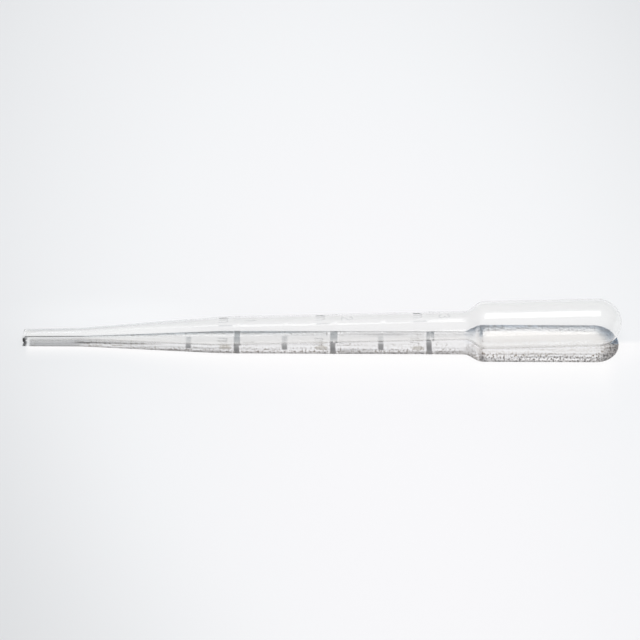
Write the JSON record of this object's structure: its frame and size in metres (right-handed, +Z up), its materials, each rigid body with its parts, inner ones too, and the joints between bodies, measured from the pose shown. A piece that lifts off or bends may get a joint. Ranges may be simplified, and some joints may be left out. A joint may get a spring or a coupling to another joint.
{
  "type": "dropper pipette",
  "caption": "One-piece graduated plastic transfer pipette with a squeeze bulb, a straight stem and a long cone down to a narrow open tip, lying on its side.",
  "frame": {"origin": "centre of the bounding box in X and Y, on the surface that the pipette lies on", "axes": "+X along the pipette from the tip to the bulb, level with the surface; +Z up; the graduation faces up, turned 2 degrees towards +Y"},
  "size_m": [0.155, 0.0124, 0.0135],
  "materials": {
    "clear_plastic": "clear, slightly hazy soft polyethylene with a smooth gloss"
  },
  "bodies": {
    "root": {"pipette": "clear_plastic"}
  },
  "joints": []
}
